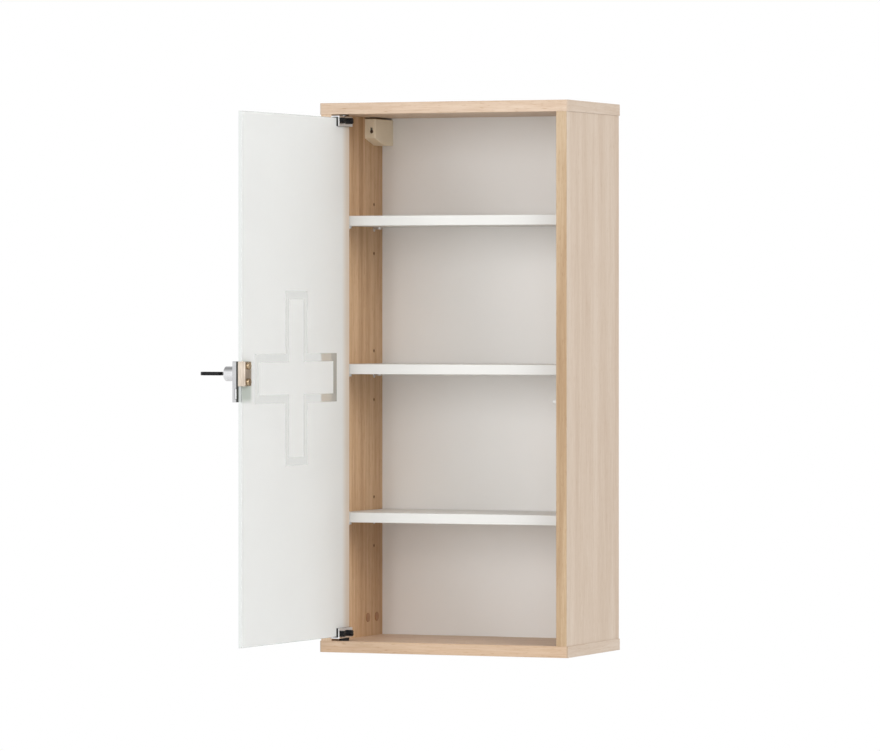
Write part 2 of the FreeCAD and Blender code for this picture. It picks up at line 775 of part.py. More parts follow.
def clamp_pad():
    pad_start = clamp_end - clamp_length + clamp_pad_margin
    pad = block((pad_start, free_edge - clamp_pad_margin), (frost_inner, clamp_start),
                about(lock_axis_height, clamp_height - 2 * clamp_pad_margin))
    return pad.cut(clamp_bolt_bores(frost_inner - overrun, clamp_start + overrun))


def clamp_bolt(z):
    seat = clamp_face - clamp_bolt_seat_depth
    head_top = seat + clamp_bolt_head_length
    head = rod(clamp_bolt_head_diameter, Vector(clamp_bolt_x, seat, z), Vector(clamp_bolt_x, head_top, z))
    head_rim = lambda edge: edge.isClosed() and edge.CenterOfMass.y > head_top - clamp_bolt_head_edge
    head = eased(head, clamp_bolt_head_edge, head_rim)
    thread = rod(clamp_bolt_diameter, Vector(clamp_bolt_x, plate_floor + clamp_bolt_clearance, z),
                 Vector(clamp_bolt_x, seat, z))
    slot = block(about(clamp_bolt_x, clamp_bolt_slot_width),
                 (head_top - clamp_bolt_slot_depth, head_top + overrun),
                 about(z, 2 * clamp_bolt_head_diameter))
    return head.fuse(thread).cut(slot).removeSplitter()


# Lock works
def lock_plug():
    start = cylinder_front + plug_face_sink
    end = plate_floor + plug_seat_gap
    plug = rod(plug_diameter, Vector(lock_axis_x, start, lock_axis_height),
               Vector(lock_axis_x, end, lock_axis_height))
    way = block(about(lock_axis_x, key_blade_width + 2 * key_way_clearance),
                (start - overrun, start + key_blade_reach + key_way_clearance),
                about(lock_axis_height, key_blade_thickness + 2 * key_way_clearance))
    return plug.cut(way)


def drive_cam():
    start = plate_floor + plug_seat_gap
    disc = rod(drive_cam_diameter, Vector(lock_axis_x, start, lock_axis_height),
               Vector(lock_axis_x, start + drive_cam_thickness, lock_axis_height))
    pin_x = lock_axis_x - drive_pin_offset
    pin_z = lock_axis_height - drive_pin_offset
    pin = rod(drive_pin_diameter, Vector(pin_x, start, pin_z), Vector(pin_x, slide_bolt_rear, pin_z))
    return disc.fuse(pin).removeSplitter()


def ear_half_width():
    return drive_pin_diameter / 2 + slide_slot_clearance + slide_bolt_ear_wall


def slide_bolt():
    y_span = (slide_bolt_front, slide_bolt_rear)
    bar = block((slide_bolt_end - slide_bolt_length, slide_bolt_end), y_span,
                about(slide_bolt_middle, slide_bolt_height))
    ear_x = lock_axis_x - drive_pin_offset
    ear_top = lock_axis_height - slide_bolt_ear_top_drop
    ear = block(about(ear_x, 2 * ear_half_width()), y_span, (slide_bolt_middle, ear_top))
    slot_low = lock_axis_height - drive_pin_radius - drive_pin_diameter
    slot = block(about(ear_x, drive_pin_diameter + 2 * slide_slot_clearance),
                 (min(y_span) - overrun, max(y_span) + overrun),
                 (slot_low, ear_top + overrun))
    return bar.fuse(ear).cut(slot).removeSplitter()


def strike_span():
    return (front + strike_front_margin, front + strike_front_margin + strike_width)


def strike_row():
    return sum(strike_span()) / 2


def strike_heights():
    return about(slide_bolt_middle, strike_height)


def strike_slot_span():
    return (slide_bolt_front - strike_slot_clearance, slide_bolt_rear + strike_slot_clearance)


def strike_slot_heights():
    return about(slide_bolt_middle, slide_bolt_height + 2 * strike_slot_clearance)


def strike_screw_heights():
    return about(slide_bolt_middle, strike_screw_spacing)


def countersink(z):
    flat = strike_screw_head_diameter / 2
    thread = strike_screw_diameter / 2
    cone = Part.makeCone(flat, thread, flat - thread, Vector(side_inner, strike_row(), z), Vector(1, 0, 0))
    shank = rod(strike_screw_diameter, Vector(side_inner, strike_row(), z),
                Vector(side_inner + strike_screw_length, strike_row(), z))
    return cone.fuse(shank).removeSplitter()


def strike_plate():
    plate = block((side_inner, side_inner + strike_thickness), strike_span(), strike_heights())
    slot = block((side_inner - overrun, side_inner + strike_thickness + overrun),
                 strike_slot_span(), strike_slot_heights())
    return plate.cut([slot] + [countersink(z) for z in strike_screw_heights()])


def stop_row():
    return frost_inner + stop_clearance + stop_head_diameter / 2


def door_stop_pin():
    peg = rod(stop_pin_diameter - 2 * pin_clearance, Vector(side_inner, stop_row(), stop_height),
              Vector(side_inner + stop_pin_peg_length, stop_row(), stop_height))
    head = rod(stop_head_diameter, Vector(side_inner - stop_head_length, stop_row(), stop_height),
               Vector(side_inner, stop_row(), stop_height))
    nose = lambda edge: edge.isClosed() and edge.CenterOfMass.x < side_inner - stop_head_length / 2
    return eased(head, stop_head_edge_radius, nose).fuse(peg).removeSplitter()


# Key
def key_blade():
    plug_face = cylinder_front + plug_face_sink
    tang_end = cylinder_front - key_bow_gap - key_tang_length
    half = key_blade_width / 2
    low = lock_axis_height - key_blade_thickness / 2
    tip = plug_face + key_blade_reach
    outline = [(-half, tang_end), (half, tang_end), (half, tip - key_blade_tip)]
    outline += [(half - key_blade_tip, tip), (-half + key_blade_tip, tip), (-half, tip - key_blade_tip)]
    blade = prism([Vector(lock_axis_x + x, y, low) for x, y in outline], Vector(0, 0, key_blade_thickness))
    cuts = []
    for step in range(key_cut_count):
        y = tip - key_blade_tip - key_cut_spacing * (step + 1)
        notch = [(half, y - key_cut_depth), (half - key_cut_depth, y), (half, y + key_cut_depth)]
        points = [Vector(lock_axis_x + x, along, low) for x, along in notch]
        cuts.append(prism(points, Vector(0, 0, key_blade_thickness)))
    return blade.cut(cuts)


def key_bow():
    base = cylinder_front - key_bow_gap
    end = base - key_bow_length
    heights = about(lock_axis_height, key_bow_thickness)
    round_y = end + key_bow_width / 2
    body = block(about(lock_axis_x, key_bow_width), (round_y, base), heights)
    round_end = rod(key_bow_width, Vector(lock_axis_x, round_y, min(heights)),
                    Vector(lock_axis_x, round_y, max(heights)))
    bow = body.fuse(round_end).removeSplitter()
    upright = runs_along(Vector(0, 0, 1))
    corner = lambda edge: upright(edge) and edge.CenterOfMass.y > base - key_bow_edge_radius
    bow = eased(bow, key_bow_width / 3, corner)
    bow = eased(bow, key_bow_edge_radius, lambda edge: not upright(edge))
    hole_y = end + key_bow_hole_from_end
    hole = rod(key_bow_hole_diameter, Vector(lock_axis_x, hole_y, min(heights) - overrun),
               Vector(lock_axis_x, hole_y, max(heights) + overrun))
    tang = block(about(lock_axis_x, key_blade_width + 2 * key_tang_clearance),
                 (base - key_tang_length - key_tang_clearance, base + overrun),
                 about(lock_axis_height, key_blade_thickness + 2 * key_tang_clearance))
    return bow.cut([hole, tang])


# Nodes of the carcass
cams = [(y, z, end, inward) for y in cam_rows
        for z, end, inward in zip(cam_heights, (opening_bottom, opening_top), (1, -1))]
capped_cams = [cam for cam in cams if cam[3] > 0 or cam[0] < 0]
bottom_flange = glass_bottom_gap - liner_base - clip_web - bush_end_clearance
nodes = {
    "top_board": [end_board(opening_top, cabinet_height, opening_top, -1)],
    "bottom_board": [end_board(0, opening_bottom, opening_bottom, 1)],
    "left_side_board": [mirrored(side_board().cut(side_board_cuts()))],
    "right_side_board": [side_board().cut(side_board_cuts() + strike_cuts())],
    "back_panel": [back_panel()],
    "shelf_pins": both_sides([spoon_pin(y, z) for y in pin_rows for z in shelf_undersides.values()]),
    "cam_discs": both_sides([cam_disc(y, z, -inward) for y, z, end, inward in cams]),
    "cam_bolts": both_sides([cam_bolt(y, z, end, inward) for y, z, end, inward in cams]),
    "cam_caps": both_sides([cam_cap(y, z) for y, z, end, inward in capped_cams]),
    "wood_dowels": both_sides([wood_dowel(y, end, inward) for y in dowel_rows
                               for end, inward in ((opening_bottom, 1), (opening_top, -1))]),
    "left_hanger_housing": [mirrored(hanger_housing())],
    "right_hanger_housing": [hanger_housing()],
    "hanger_hooks": both_sides([hanger_hook()]),
    "hanger_adjusters": both_sides([hanger_adjuster()]),
    "top_pivot_bush": [pivot_bush(opening_top, -1, bush_top_flange)],
    "bottom_pivot_bush": [pivot_bush(opening_bottom, 1, bottom_flange)],
    "strike_plate": [strike_plate()],
    "strike_screws": [countersink(z) for z in strike_screw_heights()],
    "door_stop_pin": [door_stop_pin()],
}
for name, underside in shelf_undersides.items():
    nodes[name] = [shelf(underside)]

# Nodes that swing with the door, built closed and then hung open
clip = hinge_clip()
liner = clip_liner()
clamp_screws = [clamp_screw(place) for place in clamp_screw_places()]
door_nodes = {
    "door_glass": [door_glass()],
    "door_frosting": frosting(),
    "bottom_hinge_clip": [clip],
    "top_hinge_clip": [to_head(clip)],
    "hinge_liners": [liner, to_head(liner)],
    "hinge_clamp_screws": clamp_screws + [to_head(screw) for screw in clamp_screws],
    "pivot_pins": [pivot_pin(opening_bottom, 1, glass_bottom - liner_base),
                   pivot_pin(opening_top, -1, glass_top + liner_base)],
    "lock_plate": [lock_plate()],
    "lock_gasket": [lock_gasket()],
    "lock_cylinder": [lock_cylinder()],
    "lock_clamp": [lock_clamp()],
    "lock_clamp_pad": [clamp_pad()],
    "lock_clamp_bolts": [clamp_bolt(z) for z in clamp_bolt_heights],
    "lock_plug": [lock_plug()],
    "lock_drive_cam": [drive_cam()],
    "lock_slide_bolt": [slide_bolt()],
    "key_blade": [key_blade()],
    "key_bow": [key_bow()],
}
for name, solids in door_nodes.items():
    nodes[name] = [hung_open(solid) for solid in solids]

os.makedirs("parts", exist_ok=True)
for name, solids in nodes.items():
    shape = solids[0] if len(solids) == 1 else Part.makeCompound(solids)
    shape.exportStep("parts/" + name + ".step")
    print(name, len(shape.Solids), round(shape.Volume), shape.isValid())
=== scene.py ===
import bpy
import math
from mathutils import Matrix, Vector


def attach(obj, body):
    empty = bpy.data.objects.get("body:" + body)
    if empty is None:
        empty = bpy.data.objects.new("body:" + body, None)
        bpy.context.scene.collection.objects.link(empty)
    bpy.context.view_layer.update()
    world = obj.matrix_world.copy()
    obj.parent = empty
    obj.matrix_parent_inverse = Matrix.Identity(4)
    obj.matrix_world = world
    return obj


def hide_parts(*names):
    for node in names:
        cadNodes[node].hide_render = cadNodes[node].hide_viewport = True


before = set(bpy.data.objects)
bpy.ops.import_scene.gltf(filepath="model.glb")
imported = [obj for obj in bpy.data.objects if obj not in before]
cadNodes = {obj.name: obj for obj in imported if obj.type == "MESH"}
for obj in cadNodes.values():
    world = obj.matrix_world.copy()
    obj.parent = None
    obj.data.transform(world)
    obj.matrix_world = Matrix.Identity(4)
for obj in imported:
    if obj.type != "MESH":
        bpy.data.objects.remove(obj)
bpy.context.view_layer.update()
white = (1, 1, 1)
noiseReach = (0.3, 0.7)  # where most of a noise's values lie
edgeBlur = 0.0003  # metres over which one tint gives way to the next
fineRelief = 0.0001  # metres, depth of the smallest surface texture
print("frame loaded:", len(cadNodes), "nodes")


# small helpers for shaders
def newFinish(name):
    finish = bpy.data.materials.new(name)
    finish.use_nodes = True
    tree = finish.node_tree
    return finish, tree, tree.nodes["Principled BSDF"]


def objectSpace(tree, stretch=(1, 1, 1), offset=(0, 0, 0)):
    coords = tree.nodes.new("ShaderNodeTexCoord")
    mapping = tree.nodes.new("ShaderNodeMapping")
    mapping.inputs["Scale"].default_value = stretch
    mapping.inputs["Location"].default_value = offset
    tree.links.new(coords.outputs["Object"], mapping.inputs["Vector"])
    return mapping.outputs["Vector"]


def cloud(tree, vector, scale, detail=3.0, rough=0.5, distort=0.0):
    noise = tree.nodes.new("ShaderNodeTexNoise")
    noise.inputs["Scale"].default_value = scale
    noise.inputs["Detail"].default_value = detail
    noise.inputs["Roughness"].default_value = rough
    noise.inputs["Distortion"].default_value = distort
    tree.links.new(vector, noise.inputs["Vector"])
    return noise.outputs["Fac"]


def tones(tree, factor, stops):
    ramp = tree.nodes.new("ShaderNodeValToRGB")
    band = ramp.color_ramp
    while len(band.elements) < len(stops):
        band.elements.new(0.5)
    for element, (place, colour) in zip(band.elements, stops):
        element.position = place
        element.color = (*colour, 1)
    tree.links.new(factor, ramp.inputs["Fac"])
    return ramp.outputs["Color"]


def shades(tree, factor, dull, bright, reach=noiseReach):
    return tones(tree, factor, list(zip(reach, (dull, bright))))


def spread(tree, factor, low, high, fromLow=noiseReach[0], fromHigh=noiseReach[1]):
    reach = tree.nodes.new("ShaderNodeMapRange")
    reach.inputs["From Min"].default_value = fromLow
    reach.inputs["From Max"].default_value = fromHigh
    reach.inputs["To Min"].default_value = low
    reach.inputs["To Max"].default_value = high
    tree.links.new(factor, reach.inputs["Value"])
    return reach.outputs["Result"]


def reckon(tree, operation, first, second=None):
    sums = tree.nodes.new("ShaderNodeMath")
    sums.operation = operation
    tree.links.new(first, sums.inputs[0])
    if second is not None:
        tree.links.new(second, sums.inputs[1])
    return sums.outputs["Value"]


def product(tree, first, *others):
    for other in others:
        first = reckon(tree, "MULTIPLY", first, other)
    return first


def step(tree, value, edge, rising=True):
    ends = (0.0, 1.0) if rising else (1.0, 0.0)
    return spread(tree, value, *ends, edge, edge + edgeBlur)


def between(tree, kind, factor, first, second):
    mix = tree.nodes.new("ShaderNodeMix")
    mix.data_type = kind
    tree.links.new(factor, mix.inputs["Factor"])
    tree.links.new(first, mix.inputs["A"])
    tree.links.new(second, mix.inputs["B"])
    return mix.outputs["Result"]


def multiply(tree, first, second, amount=1.0):
    mix = tree.nodes.new("ShaderNodeMix")
    mix.data_type = "RGBA"
    mix.blend_type = "MULTIPLY"
    if isinstance(amount, float):
        mix.inputs["Factor"].default_value = amount
    else:
        tree.links.new(amount, mix.inputs["Factor"])
    tree.links.new(first, mix.inputs["A"])
    tree.links.new(second, mix.inputs["B"])
    return mix.outputs["Result"]


def shadeWhere(tree, colour, mask, shade):
    return multiply(tree, colour, tones(tree, mask, [(0.0, white), (1.0, shade)]))


def places(tree):
    # distance from the middle to left or right, then depth and height
    split = tree.nodes.new("ShaderNodeSeparateXYZ")
    tree.links.new(objectSpace(tree), split.inputs["Vector"])
    return reckon(tree, "ABSOLUTE", split.outputs["X"]), split.outputs["Y"], split.outputs["Z"]


def relief(tree, shader, height, strength, depth=fineRelief):
    bump = tree.nodes.new("ShaderNodeBump")
    bump.inputs["Strength"].default_value = strength
    bump.inputs["Distance"].default_value = depth
    tree.links.new(height, bump.inputs["Height"])
    tree.links.new(bump.outputs["Normal"], shader.inputs["Normal"])


def dress(finish, *names):
    for name in names:
        mesh = cadNodes[name].data
        mesh.materials.clear()
        mesh.materials.append(finish)


# oak foil on the boards: each layer of grain has its noise scale, detail, roughness, distortion
oakGrain = {
    "figure": {"noise": (26, 4, 0.55, 0.8), "stretch": 0.050, "start": (0.31, 0.17, 0.53)},
    "fibre": {"noise": (420, 2, 0.6, 0.0), "stretch": 0.050, "start": (0.31, 0.17, 0.53)},
    "streak": {"noise": (95, 3, 0.55, 0.3), "stretch": 0.025, "start": (0.47, 0.29, 0.11)},
    "pores": {"noise": (900, 1, 0.5, 0.0), "stretch": 0.080, "start": (0.11, 0.71, 0.23)},
}
# one oak foil in four tints, partly its own tone and partly painted light: the inner faces deeper
# and more orange as painted bounce light in the shade inside, the bottom board painted lighter than
# the top
oakTintsAndPaintedLight = {
    "inner": {"pale": (0.680, 0.480, 0.300), "middle": (0.610, 0.405, 0.235),
              "deep": (0.490, 0.300, 0.155), "streaks": 0.9},
    "outer": {"pale": (0.596, 0.497, 0.407), "middle": (0.551, 0.444, 0.350),
              "deep": (0.497, 0.383, 0.288), "streaks": 0.12},
    "level": {"pale": (0.711, 0.572, 0.453), "middle": (0.649, 0.499, 0.376),
              "deep": (0.546, 0.395, 0.275), "streaks": 0.35},
    "base": {"pale": (0.750, 0.590, 0.465), "middle": (0.690, 0.520, 0.390),
             "deep": (0.590, 0.415, 0.290), "streaks": 0.35},
}
oakFoil = {
    "figureStops": (0.28, 0.50, 0.72), "streakStops": (0.36, 0.60),
    "fibreStops": (0.32, 0.62), "poreStops": (0.30, 0.38),
    "streakShade": (0.80, 0.72, 0.63), "fibreShade": (0.90, 0.86, 0.81),
    "poreShade": (0.78, 0.68, 0.57),
    "fibreAmount": (1.0, 0.45), "poreAmount": (0.8, 0.5),  # inside, outside
    "rough": (0.54, 0.40), "relief": (0.25, 0.00025),
    "outerFace": 0.1960, "frontFace": -0.1095,
}
# edge band tint per board, partly the band's own tone and partly painted light: the left band
# painted lighter where the open door shades it, the bottom band painted darker, the right band
# darker and cooler
edgeBandTintsAndPaintedLight = {"left": (1.14, 1.30, 1.60), "right": (0.87, 0.95, 1.02), "bottom": (0.84, 0.79, 0.71)}
# the bored holes: bare chipboard, darkened further by painted shade in the recess
boreChipboardAndShade = {"inner": 0.1798, "depth": 0.105, "low": 0.020, "high": 0.800,
            "shade": (0.34, 0.29, 0.26)}


def squeezed(along, stretch):
    return tuple(stretch if axis == along else 1 for axis in range(3))


def grain(tree, layer, along, outside):
    facts = oakGrain[layer]
    space = objectSpace(tree, squeezed(along, facts["stretch"]), facts["start"])
    if along == 0:
        # the end bands of a level board have their grain from front to back
        across = objectSpace(tree, squeezed(1, facts["stretch"]), facts["start"])
        space = between(tree, "VECTOR", outside, space, across)
    return cloud(tree, space, *facts["noise"])


def shadedLines(tree, factor, kind):
    return shades(tree, factor, oakFoil[kind + "Shade"], white, oakFoil[kind + "Stops"])


def oakTones(tree, figure, streak, tint):
    facts = oakTintsAndPaintedLight[tint]
    colours = facts["deep"], facts["middle"], facts["pale"]
    ground = tones(tree, figure, list(zip(oakFoil["figureStops"], colours)))
    return multiply(tree, ground, shadedLines(tree, streak, "streak"), facts["streaks"])


def boredHoles(tree, aside, depth, height):
    return product(tree, step(tree, aside, boreChipboardAndShade["inner"]),
                   step(tree, aside, oakFoil["outerFace"], False),
                   step(tree, depth, -boreChipboardAndShade["depth"]),
                   step(tree, depth, boreChipboardAndShade["depth"], False),
                   step(tree, height, boreChipboardAndShade["low"]),
                   step(tree, height, boreChipboardAndShade["high"], False))


def oakFinish(name, along, tint, edge=None):
    finish, tree, shader = newFinish(name)
    aside, depth, height = places(tree)
    outside = step(tree, aside, oakFoil["outerFace"])
    figure, fibre, streak, pores = [grain(tree, layer, along, outside)
                                    for layer in ("figure", "fibre", "streak", "pores")]
    # inner and outer faces take different tints, partly painted light and shade
    colour = between(tree, "RGBA", outside, oakTones(tree, figure, streak, tint),
                     oakTones(tree, figure, streak, "outer"))
    for kind, lines in (("fibre", fibre), ("pore", pores)):
        amount = spread(tree, outside, *oakFoil[kind + "Amount"], 0.0, 1.0)
        colour = multiply(tree, colour, shadedLines(tree, lines, kind), amount)
    if edge:
        # edge band on the front, its tint per board partly painted light and shade
        front = step(tree, depth, oakFoil["frontFace"], False)
        colour = shadeWhere(tree, colour, front, edgeBandTintsAndPaintedLight[edge])
        # bare chipboard inside the bored holes, darkened further by painted shade
        colour = shadeWhere(tree, colour, boredHoles(tree, aside, depth, height), boreChipboardAndShade["shade"])
    tree.links.new(colour, shader.inputs["Base Color"])
    tree.links.new(spread(tree, fibre, *oakFoil["rough"]), shader.inputs["Roughness"])
    relief(tree, shader, fibre, *oakFoil["relief"])
    return finish


dress(oakFinish("oakLeft", 2, "inner", "left"), "left_side_board")
dress(oakFinish("oakRight", 2, "inner", "right"), "right_side_board")
dress(oakFinish("oakTop", 0, "level"), "top_board")
dress(oakFinish("oakBottom", 0, "base", "bottom"), "bottom_board")
print("boards in oak foil")

# white melamine for the shelves and the back; the same white is painted darker on the shelves and
# lighter on the back, as painted shade and light
melamineWithPaintedLight = {
    "shelf": {"bright": (0.725, 0.72, 0.695), "dull": (0.71, 0.70, 0.675)},
    "back": {"bright": (0.908, 0.903, 0.888), "dull": (0.893, 0.887, 0.87)},
    "peelScale": 650, "cloudScale": 9, "rough": (0.34, 0.46), "relief": 0.12,
}


def melamineFinish(part):
    tint = melamineWithPaintedLight[part]
    finish, tree, shader = newFinish(part + "Melamine")
    space = objectSpace(tree)
    drift = cloud(tree, space, melamineWithPaintedLight["cloudScale"])
    peel = cloud(tree, space, melamineWithPaintedLight["peelScale"], 2)
    colour = shades(tree, drift, tint["dull"], tint["bright"])
    tree.links.new(colour, shader.inputs["Base Color"])
    tree.links.new(spread(tree, peel, *melamineWithPaintedLight["rough"]), shader.inputs["Roughness"])
    relief(tree, shader, peel, melamineWithPaintedLight["relief"])
    return finish


dress(melamineFinish("shelf"), "lower_shelf", "middle_shelf", "upper_shelf")
dress(melamineFinish("back"), "back_panel")
print("shelves and back in white melamine")

# metals, each with the scale of its streaks and how far they stand out
metals = {
    "brightChrome": {"colour": (0.84, 0.84, 0.85), "shade": (0.79, 0.79, 0.805),
                     "rough": (0.06, 0.10), "scale": (140, 140, 140), "relief": 0.015},
    "polishedChrome": {"colour": (0.63, 0.63, 0.64), "shade": (0.585, 0.585, 0.60),
                       "rough": (0.08, 0.12), "scale": (140, 140, 140), "relief": 0.015},
    "platedSteel": {"colour": (0.70, 0.70, 0.70), "shade": (0.58, 0.58, 0.59),
                    "rough": (0.24, 0.40), "scale": (60, 900, 900), "relief": 0.06},
    "castZinc": {"colour": (0.56, 0.56, 0.58), "shade": (0.46, 0.46, 0.48),
                 "rough": (0.38, 0.52), "scale": (400, 400, 400), "relief": 0.06},
    "champagneMetal": {"colour": (0.56, 0.49, 0.415), "shade": (0.38, 0.315, 0.255),
                       "rough": (0.30, 0.42), "scale": (700, 700, 60), "relief": 0.06},
    "darkenedSteel": {"colour": (0.20, 0.145, 0.10), "shade": (0.13, 0.095, 0.065),
                      "rough": (0.35, 0.50), "scale": (300, 300, 300), "relief": 0.06},
    "screwBrass": {"colour": (0.62, 0.49, 0.33), "shade": (0.36, 0.26, 0.16),
                   "rough": (0.12, 0.24), "scale": (500, 500, 500), "relief": 0.06},
}
metalSkin = {"smearScale": 60, "reach": (0.3, 0.6)}


def metalFinish(name):
    facts = metals[name]
    finish, tree, shader = newFinish(name)
    streak = cloud(tree, objectSpace(tree, facts["scale"]), 1.0)
    smear = cloud(tree, objectSpace(tree), metalSkin["smearScale"])
    colour = shades(tree, streak, facts["shade"], facts["colour"], metalSkin["reach"])
    tree.links.new(colour, shader.inputs["Base Color"])
    tree.links.new(spread(tree, smear, *facts["rough"]), shader.inputs["Roughness"])
    shader.inputs["Metallic"].default_value = 1.0
    relief(tree, shader, streak, facts["relief"])
    return finish


dress(metalFinish("brightChrome"), "top_hinge_clip", "bottom_hinge_clip", "lock_cylinder")
dress(metalFinish("polishedChrome"), "lock_plate")
dress(metalFinish("platedSteel"), "shelf_pins", "cam_bolts", "hanger_hooks", "strike_plate",
      "strike_screws", "pivot_pins", "lock_drive_cam", "lock_slide_bolt", "key_blade")
dress(metalFinish("castZinc"), "cam_discs")
dress(metalFinish("darkenedSteel"), "hanger_adjusters")
dress(metalFinish("champagneMetal"), "lock_clamp")
dress(metalFinish("screwBrass"), "lock_clamp_bolts", "lock_plug")
print("metal pieces dressed")

# plastics, rubber and dowel wood
mouldings = {
    "beigePlastic": {"colour": (0.94, 0.84, 0.655), "shade": (0.90, 0.80, 0.615),
                     "rough": (0.38, 0.50), "scale": 800, "gloss": 0.5},
    "brownPlastic": {"colour": (0.36, 0.175, 0.080), "shade": (0.31, 0.145, 0.062),
                     "rough": (0.40, 0.52), "scale": 900, "gloss": 0.5},
    "whiteNylon": {"colour": (0.84, 0.84, 0.82), "shade": (0.79, 0.79, 0.77),
                   "rough": (0.36, 0.48), "scale": 900, "gloss": 0.5},
    "blackPlastic": {"colour": (0.007, 0.007, 0.008), "shade": (0.004, 0.004, 0.005),
                     "rough": (0.30, 0.44), "scale": 900, "gloss": 0.2},
    "greyRubber": {"colour": (0.050, 0.052, 0.044), "shade": (0.038, 0.040, 0.034),
                   "rough": (0.62, 0.80), "scale": 1200, "gloss": 0.2},
    "blackRubber": {"colour": (0.010, 0.010, 0.010), "shade": (0.006, 0.006, 0.006),
                    "rough": (0.62, 0.80), "scale": 1200, "gloss": 0.2},
    "dowelBeech": {"colour": (0.60, 0.42, 0.24), "shade": (0.48, 0.32, 0.17),
                   "rough": (0.62, 0.78), "scale": 300, "gloss": 0.5},
}
mouldedSkin = {"driftScale": 40, "reach": (0.3, 0.65), "relief": 0.15}


def mouldedFinish(name):
    facts = mouldings[name]
    finish, tree, shader = newFinish(name)
    space = objectSpace(tree)
    spark = cloud(tree, space, facts["scale"], 2)
    drift = cloud(tree, space, mouldedSkin["driftScale"])
    colour = shades(tree, drift, facts["shade"], facts["colour"], mouldedSkin["reach"])
    tree.links.new(colour, shader.inputs["Base Color"])
    tree.links.new(spread(tree, spark, *facts["rough"]), shader.inputs["Roughness"])
    shader.inputs["Specular IOR Level"].default_value = facts["gloss"]
    relief(tree, shader, spark, mouldedSkin["relief"])
    return finish


dress(mouldedFinish("beigePlastic"), "left_hanger_housing", "right_hanger_housing")
dress(mouldedFinish("brownPlastic"), "cam_caps")
dress(mouldedFinish("whiteNylon"), "door_stop_pin")
# the pivot bushes are black partly as their own colour and partly as painted shade in the gaps at
# the hinges
dress(mouldedFinish("blackPlastic"), "hinge_clamp_screws", "key_bow",
      "top_pivot_bush", "bottom_pivot_bush")
dress(mouldedFinish("blackRubber"), "hinge_liners")
dress(mouldedFinish("greyRubber"), "lock_gasket", "lock_clamp_pad")
dress(mouldedFinish("dowelBeech"), "wood_dowels")
print("mouldings dressed")

# clear glass: the edges are paler and denser than the faces
doorGlass = {
    "veil": (0.50, 0.525, 0.515), "edge": (0.66, 0.695, 0.675),
    "faceAlpha": 0.05, "edgeAlpha": 0.75, "turnFrom": 0.6, "turnTo": 0.9,
    "facing": (0.99863, -0.05234, 0.0),  # square to the door as it hangs open
    "smearScale": 14, "rough": (0.03, 0.09), "bending": 1.5,
}


def glassFinish():
    finish, tree, shader = newFinish("clearGlass")
    smear = cloud(tree, objectSpace(tree), doorGlass["smearScale"], 4)
    coords = tree.nodes.new("ShaderNodeTexCoord")
    lean = tree.nodes.new("ShaderNodeVectorMath")
    lean.operation = "DOT_PRODUCT"
    lean.inputs[1].default_value = doorGlass["facing"]
    tree.links.new(coords.outputs["Normal"], lean.inputs[0])
    flat = reckon(tree, "ABSOLUTE", lean.outputs["Value"])
    turn = doorGlass["turnFrom"], doorGlass["turnTo"]
    colour = shades(tree, flat, doorGlass["edge"], doorGlass["veil"], turn)
    alpha = spread(tree, flat, doorGlass["edgeAlpha"], doorGlass["faceAlpha"], *turn)
    tree.links.new(colour, shader.inputs["Base Color"])
    tree.links.new(alpha, shader.inputs["Alpha"])
    tree.links.new(spread(tree, smear, *doorGlass["rough"]), shader.inputs["Roughness"])
    shader.inputs["IOR"].default_value = doorGlass["bending"]
    return finish


dress(glassFinish(), "door_glass")

# frosting, and the line of the cross that is left clear in it
frostLook = {
    "white": (0.87, 0.878, 0.865), "dull": (0.85, 0.858, 0.845), "driftScale": 7,
    "rough": (0.60, 0.72), "grainScale": 1500, "relief": 0.2, "through": 0.35, "bending": 1.3,
}
# painted tints in the frosting: the oak beside the hinge painted in as if seen faintly through it,
# and a painted shadow where the lock plate outside keeps light from it
hingeShade = {"start": -0.109, "full": -0.092, "shade": (0.885, 0.775, 0.675)}
plateShade = {"reach": -0.406, "low": 0.3795, "high": 0.4365, "soft": 0.004,
              "shade": (0.70, 0.75, 0.70)}
clearedLine = {
    "haze": (0.515, 0.53, 0.50), "dull": (0.505, 0.52, 0.49), "hazeScale": 60,
    "alpha": (0.56, 0.58), "rough": 0.3,
}


def besidePlate(tree, depth, height):
    soft = plateShade["soft"]
    reach, low, high = plateShade["reach"], plateShade["low"], plateShade["high"]
    return product(tree, spread(tree, depth, 1.0, 0.0, reach - soft, reach + soft),
                   spread(tree, height, 0.0, 1.0, low - soft, low + soft),
                   spread(tree, height, 1.0, 0.0, high - soft, high + soft))


def frostFinish():
    finish, tree, shader = newFinish("frostedSkin")
    space = objectSpace(tree)
    crystal = cloud(tree, space, frostLook["grainScale"], 2)
    drift = cloud(tree, space, frostLook["driftScale"])
    depth, height = places(tree)[1:]
    colour = shades(tree, drift, frostLook["dull"], frostLook["white"])
    # painted shadow of the lock plate outside, and the oak beside the hinge painted in as if seen
    # through the frosting
    colour = shadeWhere(tree, colour, besidePlate(tree, depth, height), plateShade["shade"])
    besideHinge = spread(tree, depth, 0.0, 1.0, hingeShade["start"], hingeShade["full"])
    colour = shadeWhere(tree, colour, besideHinge, hingeShade["shade"])
    tree.links.new(colour, shader.inputs["Base Color"])
    tree.links.new(spread(tree, crystal, *frostLook["rough"]), shader.inputs["Roughness"])
    shader.inputs["Transmission Weight"].default_value = frostLook["through"]
    shader.inputs["IOR"].default_value = frostLook["bending"]
    relief(tree, shader, crystal, frostLook["relief"])
    return finish


